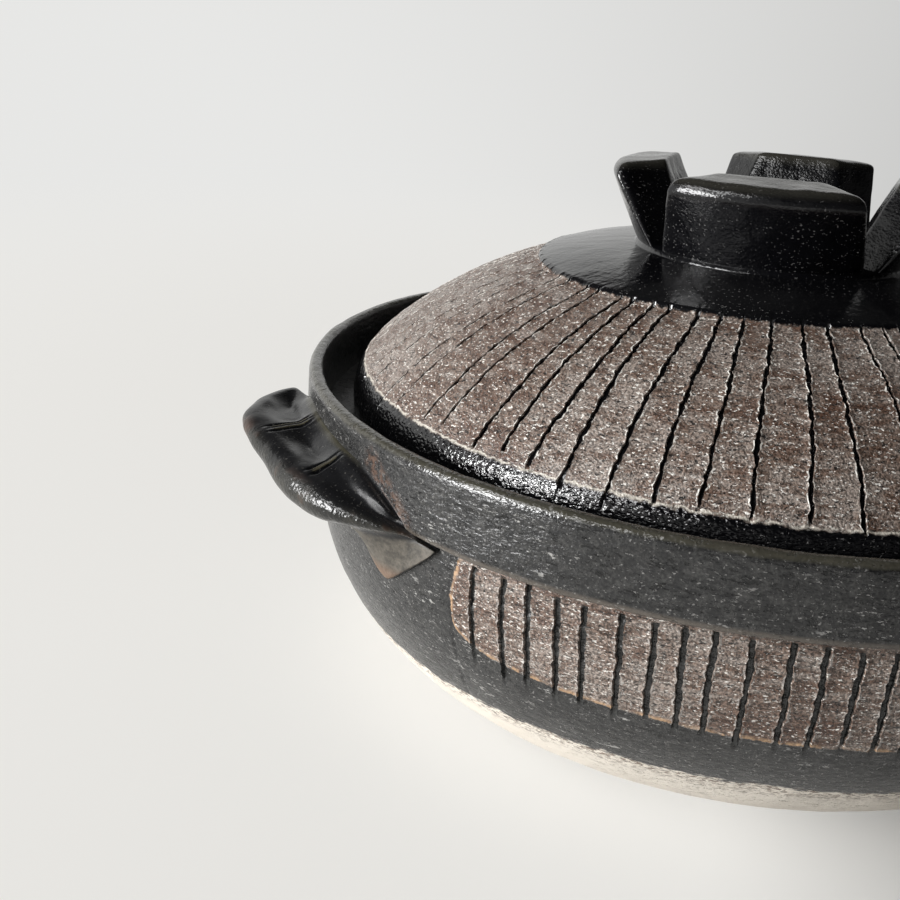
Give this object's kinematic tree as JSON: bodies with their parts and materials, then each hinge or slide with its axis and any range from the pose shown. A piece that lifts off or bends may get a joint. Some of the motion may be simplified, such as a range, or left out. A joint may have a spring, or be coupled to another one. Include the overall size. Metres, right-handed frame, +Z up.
{
  "type": "donabe clay pot",
  "caption": "Lidded clay pot for the stovetop: wide rounded bowl with a tall collar and ear handles, and a domed lid with a split ring knob.",
  "frame": {"origin": "centre of the base, on the surface that the pot stands on", "axes": "+Z up, ear handles on the X axis, +Y to the pot's back"},
  "size_m": [0.304, 0.26, 0.1469],
  "materials": {
    "bowl_clay": "black glaze with a carved band of bare brown clay, cream unglazed base",
    "ear_glaze": "glossy black glaze, brown where it runs thin",
    "lid_clay": "speckled brown clay with carved lines, black glaze in the middle and on the rim",
    "knob_glaze": "glossy black glaze"
  },
  "bodies": {
    "pot": {"pot_bowl": "bowl_clay", "ear_handle_left": "ear_glaze", "ear_handle_right": "ear_glaze"},
    "lid": {"lid_dome": "lid_clay", "knob_lug_1": "knob_glaze", "knob_lug_2": "knob_glaze", "knob_lug_3": "knob_glaze", "knob_lug_4": "knob_glaze"}
  },
  "joints": [
    {"name": "lid_lift", "type": "slide", "parent": "pot", "child": "lid", "axis": [0, 0, 1], "range_m": [0, 0.12]}
  ]
}
